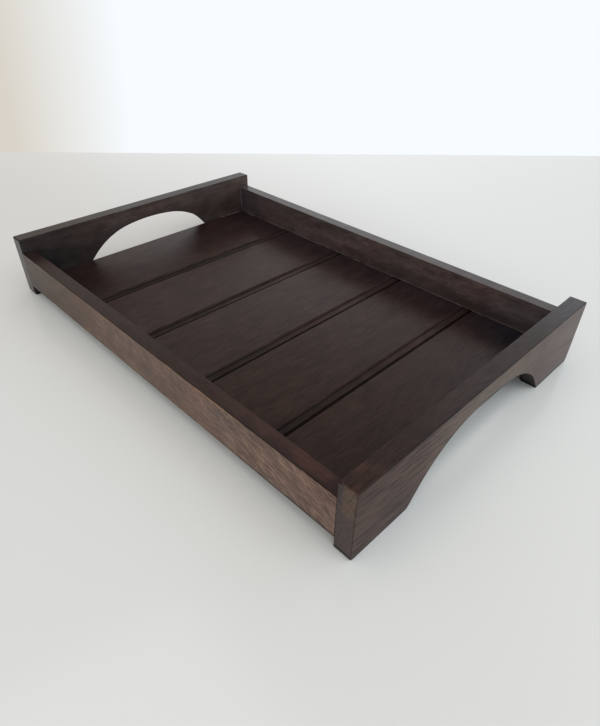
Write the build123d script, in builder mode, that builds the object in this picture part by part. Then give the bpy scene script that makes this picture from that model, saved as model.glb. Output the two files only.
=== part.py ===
from build123d import *

import os
from math import cos, radians, sin

# Wooden serving tray, in millimetres.
#
# Two upright end boards stand on the table. One arched cut-out in each leaves two feet below the floor
# and a hand hold above it. Two side rails are butted and dowelled between the end boards, and five floor
# boards lie across the tray, lapped over each other, with their ends pinned up into a rabbet in each rail.
#
# X runs along the tray, from the left end board to the right one. Y runs across it, from the front rail
# to the back one. Z is up. The origin is on the table, under the middle of the tray.

# Overall size
tray_length = 462.0
tray_width = 300.0

# End boards
board_height = 62.5
board_thickness = 14.5
board_top_corner = 1.5
foot_outer_corner = 3.0
foot_inner_corner = 2.5
sole_edge_round = 1.0

# Arched cut-out of an end board: a flare rises from each foot, then a haunch turns into a flatter crown
arch_height = 46.8
arch_half_span = 92.8
flare_angle = 51.8
crown_radius = 200.0
crown_half_angle = 8.0

# Side rails
rail_height = 37.5
rail_thickness = 12.5
rail_lift = 11.0
rabbet_width = 7.0
rabbet_height = 6.5

# Floor boards, evenly spaced, with a shallow groove between each two that lies right of their dividing line
floor_thickness = 4.0
floor_board_count = 5
groove_width = 10.6
groove_depth = 1.8
groove_shift = 2.4
lap_width = 5.0
lap_gap = 0.4
floor_end_gap = 0.3

# Sanded edges
arris_round = 0.6
rail_arris_round = 0.5
floor_arris_round = 0.4
groove_shoulder_round = 1.2

# Corner dowels, two in each end of each rail
dowel_diameter = 6.0
dowel_length = 28.0
dowel_in_board = 9.0
dowel_chamfer = 0.8
dowel_side_gap = 0.1
dowel_end_gap = 0.5
dowel_height_shares = (0.28, 0.72)

# Floor pins with countersunk heads, driven up through the ends of the floor boards into the rails
pin_diameter = 1.5
pin_length = 19.0
pin_point = 2.0
pin_head_diameter = 3.0
pin_side_gap = 0.1
pin_past_dowel = 5.0

# Places that follow from the sizes above
half_length = tray_length / 2
half_width = tray_width / 2
inner_half_length = half_length - board_thickness
rail_inner_y = half_width - rail_thickness
rabbet_wall_y = rail_inner_y + rabbet_width
rail_top = rail_lift + rail_height
floor_top = rail_lift + rabbet_height
floor_underside = floor_top - floor_thickness
lip_top = floor_top - groove_depth
floor_half_width = rabbet_wall_y - floor_end_gap
pin_y = rail_inner_y + rabbet_width / 2
rail_dowel_depth = dowel_length - dowel_in_board + dowel_end_gap
rail_pin_depth = pin_length - floor_thickness + dowel_end_gap
pin_inset = rail_dowel_depth + pin_past_dowel

os.makedirs("parts", exist_ok=True)


def finish(piece, label):
    """Name a finished piece and write its file."""
    piece.part.label = label
    export_step(piece.part, f"parts/{label}.step")
    print(label, len(piece.part.solids()), round(piece.part.volume))


# Tangent points of the arch's half outline, as (across, up) on the end board's face. The haunch radius
# is the one that joins the flare to the crown without a corner at the chosen height and span.
flare = radians(flare_angle)
crown = radians(crown_half_angle)
haunch_rise = arch_half_span * sin(flare) - arch_height * cos(flare)
haunch_radius = (haunch_rise - crown_radius * (cos(flare - crown) - cos(flare))) / (1 - cos(flare - crown))
crown_centre = arch_height - crown_radius
haunch_centre = Vector(0, crown_centre) + Vector(sin(crown), cos(crown)) * (crown_radius - haunch_radius)
haunch_top = haunch_centre + Vector(sin(crown), cos(crown)) * haunch_radius
haunch_foot = haunch_centre + Vector(sin(flare), cos(flare)) * haunch_radius

# Dowel places on the joint between a rail and an end board, clear of the rail's rabbet
dowel_base = floor_top
dowel_span = rail_top - floor_top
dowel_y = half_width - rail_thickness / 2
dowel_heights = [dowel_base + share * dowel_span for share in dowel_height_shares]
dowel_hole_radius = dowel_diameter / 2 + dowel_side_gap


# End boards. Each is drawn on its inner face, and its thickness grows outwards.
for side, outward in (("left", -1), ("right", 1)):
    inner_face = Plane(origin=(outward * inner_half_length, 0, 0), x_dir=(0, outward, 0), z_dir=(outward, 0, 0))

    with BuildPart() as end_board:
        with BuildSketch(inner_face) as outline:
            with BuildLine():
                Line((arch_half_span, 0), haunch_foot)
                haunch = TangentArc(haunch_foot, haunch_top, tangent=(-cos(flare), sin(flare)))
                TangentArc(haunch_top, (0, arch_height), tangent=haunch % 1)
                Polyline(
                    (arch_half_span, 0),
                    (half_width, 0),
                    (half_width, board_height),
                    (0, board_height),
                )
                mirror(about=Plane.YZ)
            make_face()
            fillet(outline.vertices().group_by(Axis.Y)[-1], board_top_corner)
            soles = outline.vertices().group_by(Axis.Y)[0].sort_by(Axis.X)
            fillet([soles[0], soles[-1]], foot_outer_corner)
            fillet(soles[1:-1], foot_inner_corner)
        extrude(amount=board_thickness)

        # All arrises are sanded round, and the edges that the feet stand on are rounded further
        fillet(end_board.faces().filter_by(Axis.X).edges(), arris_round)
        with BuildSketch(Plane.XZ) as sole_section:
            with Locations((outward * (inner_half_length + board_thickness / 2), board_height / 2)):
                Rectangle(board_thickness, board_height)
            fillet(sole_section.vertices().group_by(Axis.Y)[0], sole_edge_round)
        extrude(amount=half_width, both=True, mode=Mode.INTERSECT)

        # Blind dowel holes, two for each rail
        with BuildSketch(inner_face):
            with Locations(*[(y, z) for y in (-dowel_y, dowel_y) for z in dowel_heights]):
                Circle(dowel_hole_radius)
        extrude(amount=dowel_in_board + dowel_end_gap, mode=Mode.SUBTRACT)

    finish(end_board, f"end_board_{side}")


# Floor boards, from the left end board to the right one. All but the last have a lip along the right
# edge, whose top is the groove's bottom, and all but the first have a rebate underneath that laps it.
# The shoulder above each lip is rounded more than the other arrises.
board_pitch = inner_half_length * 2 / floor_board_count
groove_centres = [board_pitch * index - inner_half_length + groove_shift for index in range(1, floor_board_count)]
face_starts = [-inner_half_length] + [centre + groove_width / 2 for centre in groove_centres]
face_ends = [centre - groove_width / 2 for centre in groove_centres] + [inner_half_length]

# Two pins hold each end of a board, the outermost of them past the ends of the corner dowels
pin_columns = [x for start, end in zip(face_starts, face_ends) for x in (start + pin_inset, end - pin_inset)]
pin_hole_radius = pin_diameter / 2 + pin_side_gap
pin_sink_radius = pin_head_diameter / 2 + pin_side_gap

for index, (start, end) in enumerate(zip(face_starts, face_ends)):
    has_lip = index < floor_board_count - 1
    has_lap = index > 0
    lip_end = end + groove_width + lap_width
    lap_end = start + lap_width + lap_gap
    lip = [(lip_end, floor_underside), (lip_end, lip_top), (end, lip_top)]
    right_edge = lip if has_lip else [(end, floor_underside)]
    lap = [(start, lip_top), (lap_end, lip_top), (lap_end, floor_underside)]
    left_edge = lap if has_lap else [(start, floor_underside)]

    with BuildPart() as floor_board:
        with BuildSketch(Plane.XZ):
            with BuildLine():
                Polyline(*right_edge, (end, floor_top), (start, floor_top), *left_edge, close=True)
            make_face()
        extrude(amount=floor_half_width, both=True)
        left_arris = floor_board.faces().sort_by(Axis.Z)[-1].edges().filter_by(Axis.Y).sort_by(Axis.X)[0]
        fillet(left_arris, floor_arris_round)
        right_arris = floor_board.faces().sort_by(Axis.Z)[-1].edges().filter_by(Axis.Y).sort_by(Axis.X)[-1]
        fillet(right_arris, groove_shoulder_round if has_lip else floor_arris_round)

        board_pins = [x for x in pin_columns if start < x < end]
        under_plane = Plane(origin=(0, 0, floor_underside), x_dir=(1, 0, 0), z_dir=(0, 0, -1))
        with Locations(*[under_plane * Pos(x, y) for x in board_pins for y in (-pin_y, pin_y)]):
            CounterSinkHole(pin_hole_radius, pin_sink_radius)

    finish(floor_board, f"floor_board_{index + 1}")


# Side rails, with a rabbet along the lower inner edge that the floor boards' ends lie in
for side, outward in (("front", -1), ("back", 1)):
    with BuildPart() as side_rail:
        with BuildSketch(Plane.YZ.offset(-inner_half_length)):
            with BuildLine():
                Polyline(
                    (outward * half_width, rail_lift),
                    (outward * half_width, rail_top),
                    (outward * rail_inner_y, rail_top),
                    (outward * rail_inner_y, floor_top),
                    (outward * rabbet_wall_y, floor_top),
                    (outward * rabbet_wall_y, rail_lift),
                    close=True,
                )
            make_face()
        extrude(amount=inner_half_length * 2)
        outer_edges = side_rail.edges().filter_by(Axis.X).group_by(Axis.Y)[0 if outward < 0 else -1]
        inner_top_edge = side_rail.edges().filter_by(Axis.X).group_by(Axis.Z)[-1]
        fillet(outer_edges + inner_top_edge, rail_arris_round)

        for end in (-1, 1):
            rail_end = Plane(origin=(end * inner_half_length, 0, 0), x_dir=(0, end, 0), z_dir=(end, 0, 0))
            with BuildSketch(rail_end):
                with Locations(*[(end * outward * dowel_y, z) for z in dowel_heights]):
                    Circle(dowel_hole_radius)
            extrude(amount=-rail_dowel_depth, mode=Mode.SUBTRACT)

        with BuildSketch(Plane.XY.offset(floor_top)):
            with Locations(*[(x, outward * pin_y) for x in pin_columns]):
                Circle(pin_hole_radius)
        extrude(amount=rail_pin_depth, mode=Mode.SUBTRACT)

    finish(side_rail, f"side_rail_{side}")


# Dowels, hidden in the corner joints, with chamfered ends
with BuildPart() as dowel:
    Cylinder(dowel_diameter / 2, dowel_length, align=(Align.CENTER, Align.CENTER, Align.MIN))
    chamfer(dowel.edges().filter_by(GeomType.CIRCLE), dowel_chamfer)

for end_side, outward in (("left", -1), ("right", 1)):
    for rail_side, across in (("front", -1), ("back", 1)):
        start_x = outward * (inner_half_length + dowel_in_board - dowel_length)
        with BuildPart() as corner_dowels:
            with Locations(
                *[Plane(origin=(start_x, across * dowel_y, z), z_dir=(outward, 0, 0)) for z in dowel_heights]
            ):
                add(dowel.part)
        finish(corner_dowels, f"corner_dowels_{rail_side}_{end_side}")


# Floor pins, one row along each rail. A pin is turned about its axis, with its head at the bottom.
with BuildPart() as pin:
    with BuildSketch(Plane.XZ):
        with BuildLine():
            Polyline(
                (0, 0),
                (pin_head_diameter / 2, 0),
                (pin_diameter / 2, (pin_head_diameter - pin_diameter) / 2),
                (pin_diameter / 2, pin_length - pin_point),
                (0, pin_length),
                close=True,
            )
        make_face()
    revolve(axis=Axis.Z)

for side, outward in (("front", -1), ("back", 1)):
    with BuildPart() as floor_pins:
        with Locations(*[(x, outward * pin_y, floor_underside) for x in pin_columns]):
            add(pin.part)
    finish(floor_pins, f"floor_pins_{side}")
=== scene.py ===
from math import pi, radians

import bpy
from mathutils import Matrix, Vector


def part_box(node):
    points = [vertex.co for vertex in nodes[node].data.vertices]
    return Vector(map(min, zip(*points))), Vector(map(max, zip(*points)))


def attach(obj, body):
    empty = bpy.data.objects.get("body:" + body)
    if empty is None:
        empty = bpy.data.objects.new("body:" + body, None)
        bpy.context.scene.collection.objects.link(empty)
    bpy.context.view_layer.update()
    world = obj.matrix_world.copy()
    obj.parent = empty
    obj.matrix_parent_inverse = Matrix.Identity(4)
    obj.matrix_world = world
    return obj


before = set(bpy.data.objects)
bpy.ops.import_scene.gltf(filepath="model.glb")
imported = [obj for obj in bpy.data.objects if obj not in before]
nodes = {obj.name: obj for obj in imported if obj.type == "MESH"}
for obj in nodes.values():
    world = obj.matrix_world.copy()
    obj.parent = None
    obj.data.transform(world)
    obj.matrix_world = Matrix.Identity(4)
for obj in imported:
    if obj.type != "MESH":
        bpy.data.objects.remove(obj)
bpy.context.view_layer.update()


# End boards: two upright boards of dark-stained walnut, grain running lengthwise, with one arched cut-out
# each that leaves the feet and the hand hold. Every arris is sanded round, and the satin lacquer is thin on
# the arrises, worn in places and thick in the arches. They are dowelled to the rails' ends.
def add_node(tree, kind, sockets=None, **settings):
    """Add a node to a tree. A socket is given a plain value, or the output that feeds it."""
    made = tree.nodes.new(kind)
    for name, value in settings.items():
        setattr(made, name, value)
    for name, value in (sockets or {}).items():
        if isinstance(value, bpy.types.NodeSocket):
            tree.links.new(value, made.inputs[name])
        else:
            made.inputs[name].default_value = value
    return made


def calculate(tree, operation, first, second=0.0):
    """The output of one Math node."""
    return add_node(tree, "ShaderNodeMath", {0: first, 1: second}, operation=operation).outputs[0]


def multiply(tree, first, *others):
    """The product of some values."""
    product = first
    for other in others:
        product = calculate(tree, "MULTIPLY", product, other)
    return product


def spread(tree, value, low, high, new_low=0.0, new_high=1.0):
    """Map a value from one span to another, and hold it inside the new one."""
    sockets = {"Value": value, 1: low, 2: high, 3: new_low, 4: new_high}
    return add_node(tree, "ShaderNodeMapRange", sockets).outputs[0]


def blend_colours(tree, amount, low, high, way="MIX"):
    """The output of one colour Mix node."""
    sockets = {0: amount, 6: low, 7: high}
    return add_node(tree, "ShaderNodeMix", sockets, data_type="RGBA", blend_type=way).outputs[2]


def scale_colour(tree, colour, factor):
    """A colour times a factor."""
    sockets = {0: colour, "Scale": factor}
    return add_node(tree, "ShaderNodeVectorMath", sockets, operation="SCALE").outputs["Vector"]


class Wood:
    """Stained and lacquered wood as a solid texture, so that its figure runs through from face to end.

    along is the axis of the grain. heart is how far the piece was sawn from the log's centre, in the two
    directions across the grain. stain is the mean colour, and seed moves the figure along the grain. depth
    is the figure's contrast, and shares weighs its rings, fibres, long streaks and mottle. slope is the
    fall of the grain along +Y, in degrees, where it runs that way. The piece's section then changes stain,
    figure and lacquer face by face, with masks from the methods below.
    """

    grain_turns = {"X": 0.0, "Y": radians(-90)}
    usual_shares = (0.06, 0.70, 0.10, 0.14)

    def __init__(self, name, along, heart, stain, seed=0.0, depth=4.5, shares=usual_shares, slope=0.0):
        self.material = bpy.data.materials.new(name)
        self.material.use_nodes = True
        self.tree = self.material.node_tree
        self.place = add_node(self.tree, "ShaderNodeTexCoord").outputs["Object"]
        self.at = add_node(self.tree, "ShaderNodeSeparateXYZ", {0: self.place}).outputs
        normal = add_node(self.tree, "ShaderNodeNewGeometry").outputs["Normal"]
        self.normal = add_node(self.tree, "ShaderNodeSeparateXYZ", {0: normal}).outputs
        turn = (radians(slope), 0, self.grain_turns[along])
        sockets = {"Vector": self.place, "Rotation": turn, "Location": (seed, *heart)}
        self.turned = add_node(self.tree, "ShaderNodeMapping", sockets).outputs[0]
        self.seed = seed
        self.stain = stain
        self.lacquer = 0.3
        self.roughness = 0.31
        self.arris_gloss = 0.2

        # At this scale the wave makes one ring in each unit of the stretched space
        ring_gap = 0.0032
        rings = add_node(
            self.tree,
            "ShaderNodeTexWave",
            {
                "Vector": self.stretched(length=8 * ring_gap, width=ring_gap),
                "Scale": 2 * pi / 20,
                "Distortion": 5.0,
                "Detail": 2.0,
                "Detail Scale": 0.22,
                "Detail Roughness": 0.55,
            },
            wave_type="RINGS",
            rings_direction="X",
            wave_profile="SAW",
        ).outputs["Fac"]
        self.fibres = self.noise(length=0.014, width=0.0017, detail=4.0, roughness=0.62)
        self.streaks = self.noise(length=0.14, width=0.0075)
        self.mottle = self.noise(length=0.024, width=0.013)
        tone = 0.0
        for share, part in zip(shares, (rings, self.fibres, self.streaks, self.mottle)):
            tone = calculate(self.tree, "ADD", tone, multiply(self.tree, part, share))
        self.figure = spread(self.tree, tone, 0.5 - 1 / depth, 0.5 + 1 / depth, 0.0, 2.0)

        # An arris is where the surface faces no axis squarely
        squareness = [calculate(self.tree, "ABSOLUTE", part) for part in self.normal]
        squarest = calculate(self.tree, "MAXIMUM", *squareness[:2])
        squarest = calculate(self.tree, "MAXIMUM", squarest, squareness[2])
        self.arris = spread(self.tree, squarest, 0.90, 0.985, 1.0, 0.0)

    def stretched(self, length, width):
        """Grain space in which a unit is that long along the grain and that wide across it."""
        sockets = {"Vector": self.turned, "Scale": (1 / length, 1 / width, 1 / width)}
        return add_node(self.tree, "ShaderNodeMapping", sockets).outputs[0]

    def noise(self, length, width, detail=3.0, roughness=0.5):
        """Noise drawn out along the grain."""
        sized = self.stretched(length, width)
        sockets = {"Vector": sized, "Scale": 1.0, "Detail": detail, "Roughness": roughness}
        return add_node(self.tree, "ShaderNodeTexNoise", sockets).outputs[0]

    def flecks(self, fall, length, width, bare, full, apart=0.0):
        """A mask of flecks on the faces seen from the front, which fall by an angle in degrees along +X."""
        turn = (0, radians(-fall), 0)
        sockets = {"Vector": self.place, "Rotation": turn, "Location": (self.seed, apart, 0)}
        sloped = add_node(self.tree, "ShaderNodeMapping", sockets).outputs[0]
        sockets = {"Vector": sloped, "Scale": (1 / length, 1 / length, 1 / width)}
        sized = add_node(self.tree, "ShaderNodeMapping", sockets).outputs[0]
        sockets = {"Vector": sized, "Scale": 1.0, "Detail": 2.0, "Roughness": 0.5, "Distortion": 0.6}
        noise = add_node(self.tree, "ShaderNodeTexNoise", sockets).outputs[0]
        return spread(self.tree, noise, bare, full)

    def facing(self, axis, sign=1):
        """A mask of the faces that look along an axis."""
        return spread(self.tree, self.normal[axis], 0.45 * sign, 0.85 * sign)

    def past(self, axis, start, full):
        """A mask that rises from a start to a full place along an axis."""
        return spread(self.tree, self.at[axis], start, full)

    def where(self, *masks):
        """The part that all the masks have in common."""
        return multiply(self.tree, *masks)

    def restain(self, mask, colour):
        """Give the masked part another mean colour."""
        self.stain = blend_colours(self.tree, mask, self.stain, colour)

    def shade(self, mask, factor):
        """Darken or lighten the masked part by a factor."""
        self.figure = multiply(self.tree, self.figure, spread(self.tree, mask, 0.0, 1.0, 1.0, factor))

    def shine(self, mask, factor):
        """Scale the masked part's gloss, below one for worn lacquer and above one for thick lacquer."""
        self.lacquer = multiply(self.tree, self.lacquer, spread(self.tree, mask, 0.0, 1.0, 1.0, factor))

    def dress(self, *names):
        """Join the layers into the finished material, and put it on the named nodes."""
        tree = self.tree
        shader = tree.nodes["Principled BSDF"]
        sockets = {"Vector": self.stretched(length=0.012, width=0.0015), "Scale": 1.0}
        cells = add_node(tree, "ShaderNodeTexVoronoi", sockets)
        hole = spread(tree, cells.outputs["Distance"], 0.18, 0.32, 1.0, 0.0)
        pore = multiply(tree, hole, calculate(tree, "GREATER_THAN", cells.outputs["Color"], 0.45))
        clouds = spread(tree, self.noise(length=0.060, width=0.030), 0.36, 0.64)
        tint = blend_colours(tree, clouds, (1.05, 0.99, 0.96, 1), (0.95, 1.01, 1.04, 1))
        colour = blend_colours(tree, 1.0, self.stain, tint, way="MULTIPLY")
        colour = scale_colour(tree, colour, self.figure)
        colour = blend_colours(tree, multiply(tree, pore, 0.5), colour, (0.004, 0.003, 0.0025, 1))
        gloss = calculate(tree, "ADD", multiply(tree, self.streaks, 0.14), self.roughness - 0.07)
        gloss = calculate(tree, "ADD", gloss, multiply(tree, self.arris, 0.25))
        cover = calculate(tree, "ADD", multiply(tree, self.fibres, 0.8), multiply(tree, self.mottle, 0.2))
        film = multiply(tree, self.lacquer, spread(tree, cover, 0.30, 0.70, 0.80, 1.20))
        film = multiply(tree, film, spread(tree, self.arris, 0.0, 1.0, 1.0, self.arris_gloss))
        relief = calculate(tree, "SUBTRACT", multiply(tree, self.fibres, 0.35), pore)
        sockets = {"Height": relief, "Strength": 0.30, "Distance": 0.00008}
        bump = add_node(tree, "ShaderNodeBump", sockets).outputs[0]
        tree.links.new(colour, shader.inputs["Base Color"])
        tree.links.new(gloss, shader.inputs["Roughness"])
        tree.links.new(film, shader.inputs["Specular IOR Level"])
        tree.links.new(bump, shader.inputs["Normal"])
        for name in names:
            nodes[name].data.materials.clear()
            nodes[name].data.materials.append(self.material)


# Half span and height of the arch, with the round of its edges
arch_reach = 0.0945
arch_top = 0.048


def board_wood(name, heart, seed, **figure):
    """Wood of an end board, with what both share: a dark near end, soles painted black as shade, and a
    glossy arch painted blue-grey as a reflection, with painted shade on its edges.
    """
    wood = Wood(name + "_walnut", "Y", heart, (0.062, 0.044, 0.039, 1), seed, **figure)
    near_end = wood.past("Y", -0.02, -0.14)
    wood.restain(near_end, (0.027, 0.022, 0.021, 1))
    from_middle = calculate(wood.tree, "ABSOLUTE", wood.at["Y"])
    within_span = spread(wood.tree, from_middle, arch_reach + 0.0015, arch_reach)
    round_arch = wood.where(within_span, wood.past("Z", arch_top + 0.002, arch_top))
    off_the_faces = spread(wood.tree, calculate(wood.tree, "ABSOLUTE", wood.normal["X"]), 0.5, 0.8, 1.0, 0.0)
    arch = wood.where(off_the_faces, round_arch)
    # Painted reflection: the arch is coloured blue-grey as if it mirrored the pale table, and its lacquer is
    # thick
    wood.restain(arch, (0.0280, 0.0380, 0.0480, 1))
    wood.shine(arch, 2.0)
    # Painted shade: the arch's rounded edges are darkened where they turn down towards the shaded table
    painted_shade_arch_edge = wood.where(wood.arris, round_arch)
    wood.shade(painted_shade_arch_edge, 0.3)
    wood.shine(painted_shade_arch_edge, 0.3)
    # Painted shade: the lowest few millimetres of both boards are black where the feet meet the table
    painted_shade_sole = wood.past("Z", 0.0028, 0.0016)
    wood.restain(painted_shade_sole, (0.003, 0.003, 0.003, 1))
    wood.shine(painted_shade_sole, 0.15)
    return wood


# Left board: painted shade darkens its inner face towards the floor, and its top is darker along the inner
# edge
left_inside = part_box("end_board_left")[1][0]
left = board_wood("end_board_left", (0.262, 0.045), 0.31, depth=2.8, shares=(0.05, 0.30, 0.15, 0.50))
inner = left.facing("X")
left.shade(inner, 0.88)
# Painted shade on the inner face towards the floor
painted_shade_above_floor = left.where(inner, left.past("Z", 0.054, 0.036))
left.shade(painted_shade_above_floor, 0.60)
left.restain(left.facing("X", -1), (0.040, 0.021, 0.012, 1))
top = left.facing("Z")
left.restain(top, (0.015, 0.012, 0.009, 1))
left.shine(left.where(top, left.past("Y", -0.03, 0.06)), 0.56)
inner_strip = left.where(top, left.past("X", left_inside - 0.0050, left_inside - 0.0015))
left.restain(inner_strip, (0.009, 0.008, 0.007, 1))
left.dress("end_board_left")

# Right board, outer face: lighter over the arch, with short dark dashes, and dark along its upper edge
right_low, right_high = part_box("end_board_right")
right_inside = right_low[0]
right_outside = right_high[0]
right_top = right_high[2]
right = board_wood("end_board_right", (-0.185, 0.052), 1.73, depth=2.9, slope=5.0)
right.arris_gloss = 0.8
inner_arris = right.where(right.arris, right.past("X", right_inside + 0.0035, right_inside + 0.0015))
right.shine(inner_arris, 0.2)
# Painted highlight: the arrises above the feet are lightened
right.shade(right.where(right.arris, right.past("Z", 0.0030, 0.0060)), 1.25)
outer = right.where(right.facing("X"), right.past("Z", 0.0016, 0.0028))
right.restain(outer, (0.053, 0.0235, 0.0165, 1))
over_arch = right.where(outer, right.past("Y", -0.08, -0.03), right.past("Y", 0.07, 0.03))
right.restain(over_arch, (0.073, 0.036, 0.019, 1))
short_streaks = right.noise(length=0.024, width=0.0015, detail=2.0)
dashes = right.where(outer, spread(right.tree, short_streaks, 0.52, 0.42))
right.shade(dashes, 0.72)
near_dashes = right.where(dashes, right.past("Y", 0.06, -0.02))
right.shade(near_dashes, 0.58)
right.shine(near_dashes, 0.70)
upper_edge = right.where(outer, right.past("Z", right_top - 0.0033, right_top - 0.0013))
right.shade(right.where(upper_edge, right.past("Y", 0.09, 0.03)), 0.45)
right.shine(right.where(outer, right.past("Y", -0.02, -0.09)), 0.38)
right.shine(right.where(outer, right.past("Y", -0.02, 0.07)), 0.52)
right.shine(right.where(outer, right.past("Y", 0.08, 0.135)), 1.45)

# Its top: nearly black, darkest along the outer edge, blue-grey at the far end as a painted reflection, and
# # browner with blotches at the near end
top = right.facing("Z")
right.restain(top, (0.0115, 0.0045, 0.0028, 1))
outer_strip = right.where(top, right.past("X", right_outside - 0.0025, right_outside - 0.0008))
right.restain(right.where(outer_strip, right.past("Y", 0.06, -0.03)), (0.004, 0.002, 0.0015, 1))
# Painted reflection: the far end of the top is coloured blue-grey
right.restain(right.where(top, right.past("Y", 0.06, 0.13)), (0.018, 0.013, 0.016, 1))
near_top = right.where(top, right.past("Y", -0.08, -0.13))
right.restain(near_top, (0.0145, 0.0062, 0.0050, 1))
blotches = spread(right.tree, right.mottle, 0.46, 0.60)
blotches = right.where(near_top, blotches, right.past("Y", -0.105, -0.125))
right.restain(blotches, (0.027, 0.0115, 0.0085, 1))
right.shine(right.where(top, right.past("Y", -0.04, 0.04)), 0.74)
right.shine(right.where(top, right.past("Y", 0.08, 0.13)), 1.42)

# Its near end: flecked end grain with a paler patch high up, a dark upper corner beside the rail, and a
# lower edge painted black as shade where the foot meets the table
end_face = right.facing("Y", -1)
end_grain = right.where(end_face, right.past("Z", 0.0034, 0.0050))
right.restain(end_grain, (0.039, 0.019, 0.016, 1))
off_the_rail = right.past("X", right_inside + 0.0025, right_inside + 0.0055)
patch = right.where(end_grain, right.past("Z", 0.034, 0.043), off_the_rail)
short_of_edge = right.past("X", right_outside - 0.0002, right_outside - 0.0020)
right.restain(right.where(patch, short_of_edge), (0.062, 0.032, 0.019, 1))
beside_rail = right.past("X", right_inside + 0.0050, right_inside + 0.0025)
upper_corner = right.where(end_grain, right.past("Z", 0.040, 0.048), beside_rail)
right.restain(upper_corner, (0.024, 0.013, 0.012, 1))
right.shade(end_grain, 0.76)
dark_flecks = right.flecks(fall=-62, length=0.016, width=0.0022, bare=0.52, full=0.62)
right.shade(right.where(end_grain, dark_flecks), 0.66)
pale_flecks = right.flecks(fall=-62, length=0.005, width=0.0018, bare=0.54, full=0.64, apart=0.3)
right.shade(right.where(patch, pale_flecks), 1.5)
# Painted shade: the end face's lowest few millimetres are black-blue where the foot meets the table
lower_edge = right.where(end_face, right.past("Z", 0.0050, 0.0034))
right.restain(lower_edge, (0.003, 0.004, 0.006, 1))
right.shine(lower_edge, 0.15)
right.dress("end_board_right")


# Side rails: two straight rails of the same walnut, butted between the end boards with the floor let into
# a rabbet below. The front one's outer face shows a lively figure of falling ripples and flecks, and its
# top outer arris is rubbed to a thin pale line.
rail_low, rail_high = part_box("side_rail_front")
front = Wood(
    "side_rail_front_walnut",
    "X",
    heart=(0.172, 0.028),
    stain=(0.050, 0.036, 0.036, 1),
    seed=0.52,
    depth=2.8,
    shares=(0.04, 0.48, 0.12, 0.36),
)
outer = front.facing("Y", -1)
front.restain(outer, (0.092, 0.049, 0.032, 1))
front.restain(front.where(outer, front.past("X", -0.08, -0.22)), (0.042, 0.026, 0.018, 1))
front.restain(front.where(outer, front.past("X", 0.04, 0.11)), (0.097, 0.049, 0.036, 1))
rippled = front.where(outer, front.past("X", -0.15, -0.04))
troughs = front.flecks(fall=23, length=0.020, width=0.0026, bare=0.51, full=0.62)
front.shade(front.where(rippled, troughs), 0.84)
ripples = front.flecks(fall=24, length=0.012, width=0.0015, bare=0.53, full=0.60, apart=0.4)
front.restain(front.where(rippled, ripples), (0.172, 0.101, 0.068, 1))
speckled = front.where(outer, front.past("X", 0.04, 0.12))
pale_flecks = front.flecks(fall=22, length=0.009, width=0.0014, bare=0.52, full=0.59, apart=0.8)
front.restain(front.where(speckled, pale_flecks), (0.208, 0.130, 0.088, 1))
dark_flecks = front.flecks(fall=35, length=0.006, width=0.0024, bare=0.52, full=0.64, apart=0.2)
front.shade(front.where(speckled, dark_flecks), 0.76)
# Painted shade: a dark line along the outer face's lower edge, at the right end
lower_edge = front.where(outer, front.past("Z", rail_low[2] + 0.0024, rail_low[2] + 0.0014))
front.restain(front.where(lower_edge, front.past("X", 0.09, 0.15)), (0.010, 0.006, 0.005, 1))
front.shade(outer, 0.73)
front.shine(front.where(outer, front.past("X", 0.02, -0.10)), 0.44)

# Front rail's top: redder with blotches towards the right, and dark along its outer edge
top = front.facing("Z")
front.restain(top, (0.0145, 0.0075, 0.0065, 1))
front.shine(front.where(top, front.past("X", -0.08, -0.18)), 0.85)
front.restain(front.where(top, front.past("X", 0.02, 0.16)), (0.0205, 0.0092, 0.0082, 1))
blotches = spread(front.tree, front.mottle, 0.46, 0.60)
front.restain(front.where(top, blotches, front.past("X", 0.08, 0.16)), (0.028, 0.012, 0.010, 1))
outer_strip = front.where(top, front.past("Y", rail_low[1] + 0.0020, rail_low[1] + 0.0010))
front.restain(outer_strip, (0.009, 0.0045, 0.0040, 1))
upper_edge = front.where(outer, front.past("Z", rail_high[2] - 0.0016, rail_high[2] - 0.0009))
worn = spread(front.tree, front.noise(length=0.016, width=0.004), 0.40, 0.56)
worn = front.where(worn, front.past("X", 0.17, 0.10), front.past("X", -0.22, 0.05))
front.restain(front.where(upper_edge, worn), (0.22, 0.125, 0.070, 1))
front.dress("side_rail_front")

# Back rail: its inner face has soft blotches, is greyer at both ends and is darkened above the floor by
# painted shade, and its top is greyer than the front rail's
back = Wood(
    "side_rail_back_walnut",
    "X",
    heart=(-0.118, 0.034),
    stain=(0.078, 0.044, 0.029, 1),
    seed=2.14,
    depth=2.8,
    shares=(0.04, 0.40, 0.14, 0.42),
)
inner = back.facing("Y", -1)
back.restain(inner, (0.054, 0.037, 0.036, 1))
back.shade(inner, 0.73)
back.restain(back.where(inner, back.past("X", -0.15, -0.20)), (0.045, 0.035, 0.039, 1))
blotches = back.flecks(fall=-18, length=0.013, width=0.005, bare=0.48, full=0.62)
blotches = back.where(inner, blotches, back.past("X", -0.15, -0.06))
back.restain(blotches, (0.074, 0.051, 0.050, 1))
back.restain(back.where(inner, back.past("X", 0.14, 0.19)), (0.066, 0.052, 0.056, 1))
# Painted shade on the inner face just above the floor
painted_shade_above_floor = back.where(inner, back.past("Z", 0.034, 0.024), back.past("X", -0.08, -0.01))
back.shade(painted_shade_above_floor, 0.62)
top = back.facing("Z")
back.restain(top, (0.047, 0.041, 0.039, 1))
back.shine(back.where(top, back.past("X", -0.06, -0.16)), 0.72)
back.restain(back.where(top, back.past("X", 0.02, 0.14)), (0.032, 0.023, 0.023, 1))
back.dress("side_rail_back")
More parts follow.
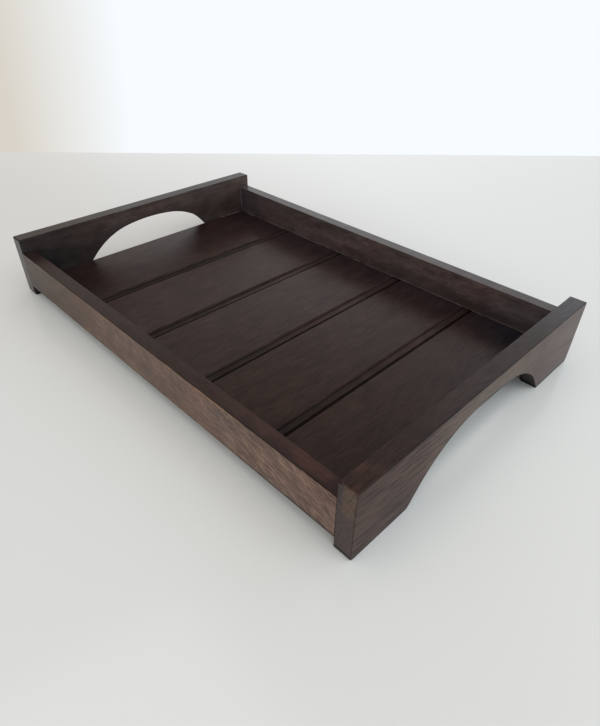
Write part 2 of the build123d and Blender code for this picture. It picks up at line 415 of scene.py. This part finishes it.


# Floor boards: five boards across the tray, lapped over each other with a shallow groove between each two,
# pinned up into the rails' rabbets. Their grain runs across the tray. Painted shade darkens the grooves in
# front of the back strip and lines one edge of each groove, and the lacquer is thinner in the grooves.
board_count = 5
lap_width = 0.005
floor_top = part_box("floor_board_1")[1][2]
for index in range(board_count):
    name = f"floor_board_{index + 1}"

    # Each board is sawn from another place in the log, and the two at the right are darker and warmer
    heart = (0.02 + 0.083 * index, 0.038 + 0.011 * (index % 3))
    mean = (0.0172, 0.0082, 0.0068, 1) if index < 3 else (0.0148, 0.0058, 0.0038, 1)
    seed = 0.7 + 1.37 * index
    wood = Wood(name + "_walnut", "Y", heart, mean, seed, depth=3.6, shares=(0.06, 0.50, 0.10, 0.34))
    wood.lacquer = 0.278

    # Changes over the whole floor: painted shade that is greyer at the back, bluish in the back right corner
    # and
    #     # darker in the front corners, and patches of wear
    # Painted shade: the back of the floor, under the back rail, is greyer and cooler, and bluish in the back
    # right corner
    wood.restain(wood.past("Y", 0.08, 0.12), (0.0150, 0.0085, 0.0092, 1))
    painted_shade_back_right = wood.where(wood.past("X", 0.13, 0.18), wood.past("Y", 0.09, 0.12))
    wood.restain(painted_shade_back_right, (0.0095, 0.0085, 0.0110, 1))
    # Painted shade: the front corners are darker
    painted_shade_front_right = wood.where(wood.past("X", 0.17, 0.20), wood.past("Y", -0.105, -0.13))
    wood.restain(painted_shade_front_right, (0.006, 0.007, 0.006, 1))
    painted_shade_front_left = wood.where(wood.past("X", -0.10, -0.16), wood.past("Y", -0.09, -0.12))
    wood.shade(painted_shade_front_left, 0.66)
    wood.shine(wood.past("X", -0.06, -0.16), 0.80)
    wood.shine(wood.where(wood.past("X", 0.05, 0.13), wood.past("Y", -0.04, 0.03)), 0.82)

    # Grooves: the lip is the bottom of the groove, and the shoulder its rounded left edge. The grooves carry
    #     # painted shade except at the back, and the shoulder painted light
    lowered = wood.past("Z", floor_top - 0.0006, floor_top - 0.0012)
    wood.restain(lowered, (0.0185, 0.0108, 0.0105, 1))
    # Painted shade: the grooves are darker in front of the back strip
    sunk = wood.where(lowered, wood.past("Y", 0.108, 0.085))
    wood.restain(sunk, (0.0105, 0.0070, 0.0060, 1))
    middle = wood.where(wood.past("Y", -0.06, 0.0), wood.past("Y", 0.10, 0.075))
    reddened = wood.where(sunk, middle, wood.past("X", -0.10, -0.05))
    wood.restain(reddened, (0.0200, 0.0088, 0.0072, 1))
    wood.shine(sunk, 0.60)
    # Painted light: the shoulder is coloured lighter to stand in for the light falling on it
    shoulder = wood.where(wood.facing("X"), wood.past("Y", 0.13, 0.08))
    wood.restain(shoulder, (0.034, 0.025, 0.022, 1))
    if index < board_count - 1:
        groove_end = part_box(name)[1][0] - lap_width
        groove_side = wood.past("X", groove_end - 0.0046, groove_end - 0.0038)
        # Painted shade: a dark line on the lip beside the next board, with thin lacquer
        painted_shade_line = wood.where(lowered, wood.facing("Z"), groove_side)
        wood.restain(painted_shade_line, (0.0055, 0.0030, 0.0023, 1))
        wood.shine(painted_shade_line, 0.15)
    wood.dress(name)


# Glue lines: small beads of dried glue that the joints in the far left corner and along the back rail have
# squeezed out, in broken runs along the corners that they fill.
bead_tree = bpy.data.node_groups.new("glue_beads", "GeometryNodeTree")
bead_inputs = {}
for label, kind in (
    ("Start", "Vector"),
    ("End", "Vector"),
    ("Spacing", "Float"),
    ("Bead radius", "Float"),
    ("Material", "Material"),
):
    socket = bead_tree.interface.new_socket(label, in_out="INPUT", socket_type="NodeSocket" + kind)
    bead_inputs[label] = socket.identifier
bead_tree.interface.new_socket("Geometry", in_out="OUTPUT", socket_type="NodeSocketGeometry")


def bead_node(kind, sockets=None, **settings):
    """The first output of a node added to the bead tree."""
    return add_node(bead_tree, kind, sockets, **settings).outputs[0]


given = bead_tree.nodes.new("NodeGroupInput").outputs
run = bead_node("GeometryNodeCurvePrimitiveLine", {"Start": given["Start"], "End": given["End"]})
steps = bead_node("GeometryNodeResampleCurve", {"Curve": run, "Length": given["Spacing"]}, mode="LENGTH")
spot = bead_node("GeometryNodeInputPosition")
breaks = bead_node("ShaderNodeTexNoise", {"Vector": spot, "Scale": 90.0, "Detail": 2.0})
kept = bead_node("FunctionNodeCompare", {0: breaks, 1: 0.44}, operation="GREATER_THAN")
bead = bead_node("GeometryNodeMeshIcoSphere", {"Radius": given["Bead radius"], "Subdivisions": 2})
bead = bead_node("GeometryNodeSetShadeSmooth", {0: bead})
smallest_share = 0.45
sizes = {2: smallest_share, 3: 1.0, "Seed": 4}
random_size = add_node(bead_tree, "FunctionNodeRandomValue", sizes, data_type="FLOAT")
placing = {"Points": steps, "Selection": kept, "Instance": bead, "Scale": random_size.outputs[1]}
beads = bead_node("GeometryNodeInstanceOnPoints", placing)
beads = bead_node("GeometryNodeRealizeInstances", {0: beads})
beads = bead_node("GeometryNodeSetMaterial", {"Geometry": beads, "Material": given["Material"]})
bead_tree.links.new(beads, bead_tree.nodes.new("NodeGroupOutput").inputs[0])

glue = bpy.data.materials.new("dried_glue")
glue.use_nodes = True
glue_shader = glue.node_tree.nodes["Principled BSDF"]
glue_place = add_node(glue.node_tree, "ShaderNodeTexCoord").outputs["Object"]
sockets = {"Vector": glue_place, "Scale": 400.0, "Detail": 3.0}
glue_mottle = add_node(glue.node_tree, "ShaderNodeTexNoise", sockets).outputs[0]
glue_colour = blend_colours(glue.node_tree, glue_mottle, (0.07, 0.05, 0.045, 1), (0.16, 0.125, 0.115, 1))
glue.node_tree.links.new(glue_colour, glue_shader.inputs["Base Color"])
glue_gloss = spread(glue.node_tree, glue_mottle, 0.3, 0.7, 0.25, 0.45)
glue.node_tree.links.new(glue_gloss, glue_shader.inputs["Roughness"])

bead_spacing = 0.00040
thin_bead = 0.00028
thick_bead = 0.00045
off_the_wood = 0.0001
short_of_right = 0.0008
short_of_top = 0.0012
left_run = 0.034
back_low, back_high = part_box("side_rail_back")
corner = Vector((back_low[0] + off_the_wood, back_low[1] - off_the_wood, floor_top + off_the_wood))
runs = {
    "glue_line_back": corner + Vector((back_high[0] - back_low[0] - short_of_right, 0, 0)),
    "glue_line_left": corner - Vector((0, left_run, 0)),
    "glue_line_corner": corner + Vector((0, 0, back_high[2] - floor_top - short_of_top)),
}
for name, far_end in runs.items():
    glue_line = bpy.data.objects.new(name, bpy.data.meshes.new(name))
    bpy.context.collection.objects.link(glue_line)
    beading = glue_line.modifiers.new("beads", "NODES")
    beading.node_group = bead_tree
    beading[bead_inputs["Start"]] = corner
    beading[bead_inputs["End"]] = far_end
    beading[bead_inputs["Spacing"]] = bead_spacing
    beading[bead_inputs["Bead radius"]] = thin_bead if name == "glue_line_back" else thick_bead
    beading[bead_inputs["Material"]] = glue
    made = glue_line.evaluated_get(bpy.context.evaluated_depsgraph_get())
    glue_line.data = bpy.data.meshes.new_from_object(made)
    glue_line.modifiers.remove(beading)
    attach(glue_line, "root")


# Corner dowels: eight short pegs of bare beech with chamfered ends, two in each corner joint. They are glued
# into the ends of the rails and the faces of the end boards, and hidden there.
beech = Wood("beech", "X", (0.01, 0.01), (0.50, 0.31, 0.17, 1), depth=1.6)
beech.roughness = 0.6
beech.dress(*[name for name in nodes if name.startswith("corner_dowels")])


# Floor pins: twenty steel panel pins with countersunk heads, driven up through the ends of the floor boards
# into the rails. Only their heads show, and only from below.
steel = bpy.data.materials.new("pin_steel")
steel.use_nodes = True
steel_shader = steel.node_tree.nodes["Principled BSDF"]
steel_shader.inputs["Metallic"].default_value = 1.0
steel_place = add_node(steel.node_tree, "ShaderNodeTexCoord").outputs["Object"]
sockets = {"Vector": steel_place, "Scale": 900.0, "Detail": 4.0}
steel_marks = add_node(steel.node_tree, "ShaderNodeTexNoise", sockets).outputs[0]
steel_colour = blend_colours(steel.node_tree, steel_marks, (0.30, 0.29, 0.28, 1), (0.55, 0.54, 0.52, 1))
steel.node_tree.links.new(steel_colour, steel_shader.inputs["Base Color"])
steel_gloss = spread(steel.node_tree, steel_marks, 0.3, 0.7, 0.28, 0.5)
steel.node_tree.links.new(steel_gloss, steel_shader.inputs["Roughness"])
for name in ("floor_pins_front", "floor_pins_back"):
    nodes[name].data.materials.clear()
    nodes[name].data.materials.append(steel)


# Table: a pale glossy table top, whose far edge lies where the photograph's wall begins.
table_reach = 0.569
table_spread = 1.8
table_turn = radians(46.66)
table_mesh = bpy.data.meshes.new("table_top")
corners = [
    (x * table_reach * table_spread, y * table_reach, 0) for x, y in ((-1, -1), (1, -1), (1, 1), (-1, 1))
]
table_mesh.from_pydata(corners, [], [(0, 1, 2, 3)])
table_top = bpy.data.objects.new("table_top", table_mesh)
table_top.rotation_euler = (0, 0, table_turn)
bpy.context.collection.objects.link(table_top)
table_paint = bpy.data.materials.new("table_paint")
table_paint.use_nodes = True
table_shader = table_paint.node_tree.nodes["Principled BSDF"]
table_shader.inputs["Base Color"].default_value = (0.602, 0.620, 0.612, 1)
table_shader.inputs["Roughness"].default_value = 0.16
table_mesh.materials.append(table_paint)


# Room: bright pale walls all round, darker and warmer at the camera's left, that dim upwards, sooner past
# the tray's left end than past its right one. Low down they are brighter past the left end, and brightest
# in front of the tray, where light comes in under the front rail.
room = bpy.data.worlds.new("room")
bpy.context.scene.world = room
room.use_nodes = True
room_tree = room.node_tree
direction = add_node(room_tree, "ShaderNodeTexCoord").outputs["Generated"]
direction_parts = add_node(room_tree, "ShaderNodeSeparateXYZ", {0: direction}).outputs
height = direction_parts["Z"]


def towards(way):
    """How far each direction from the tray points a given way."""
    sockets = {0: direction, 1: way}
    return add_node(room_tree, "ShaderNodeVectorMath", sockets, operation="DOT_PRODUCT").outputs["Value"]


def band(start, full, fading, gone):
    """A mask of the walls between two heights, which fades at its lower and upper edge."""
    lower_edge = spread(room_tree, height, start, full)
    upper_edge = spread(room_tree, height, gone, fading)
    return multiply(room_tree, lower_edge, upper_edge)


leftward = multiply(room_tree, direction_parts["X"], -0.6)
dimness = spread(room_tree, calculate(room_tree, "ADD", height, leftward), 0.66, 0.90)
wall_left = spread(room_tree, towards((-0.7014, -0.7127, 0)), 0.27, 0.43)
wall_colour = blend_colours(room_tree, wall_left, (0.93, 0.97, 1.0, 1), (0.70, 0.66, 0.59, 1))
wall_colour = scale_colour(room_tree, wall_colour, spread(room_tree, height, 0.0, 0.14, 1.0, 1.40))
left_lift = spread(room_tree, towards((-0.94, -0.34, 0)), -0.75, 0.75, -0.60, 0.50)
left_lift = multiply(room_tree, left_lift, band(0.0, 0.08, 0.42, 0.55))
front_lift = spread(room_tree, towards((0.34, -0.94, 0)), 0.45, 0.88, 0.0, 1.5)
front_lift = multiply(room_tree, front_lift, band(0.0, 0.05, 0.35, 0.50))
brightness = calculate(room_tree, "ADD", calculate(room_tree, "ADD", left_lift, front_lift), 1.0)
wall_colour = scale_colour(room_tree, wall_colour, brightness)
room_colour = blend_colours(room_tree, dimness, wall_colour, (0.47, 0.385, 0.345, 1))
room_tree.links.new(room_colour, room_tree.nodes["Background"].inputs["Color"])


def add_lamp(name, place, size, energy, colour):
    """A square soft lamp that faces the tray."""
    lamp = bpy.data.objects.new(name, bpy.data.lights.new(name, "AREA"))
    lamp.data.size = size
    lamp.data.energy = energy
    lamp.data.color = colour
    lamp.location = place
    lamp.rotation_euler = (-Vector(place)).to_track_quat("-Z", "Y").to_euler()
    bpy.context.collection.objects.link(lamp)


add_lamp("overhead", place=(0.0, -0.45, 1.20), size=1.2, energy=4.0, colour=(1.0, 1.0, 1.0))
add_lamp("window", place=(1.20, 0.20, 1.00), size=0.8, energy=4.0, colour=(0.96, 1.0, 1.04))


# Camera: solved from the photograph's straight edges, a wide phone lens held over the near corner. The
# sensor's width lies along the frame's longer side, which is its height.
photo_height = 726
focal_pixels = 545.8
camera = bpy.data.objects.new("camera", bpy.data.cameras.new("camera"))
camera.location = (0.34428, -0.31018, 0.29828)
camera.rotation_euler = (radians(52.48), radians(-0.712), radians(45.454))
camera.data.sensor_width = 36
camera.data.lens = focal_pixels * camera.data.sensor_width / photo_height
camera.data.shift_x = 0.0006
camera.data.shift_y = 0.0069
bpy.context.collection.objects.link(camera)
bpy.context.scene.camera = camera
bpy.context.scene.view_settings.view_transform = "Standard"
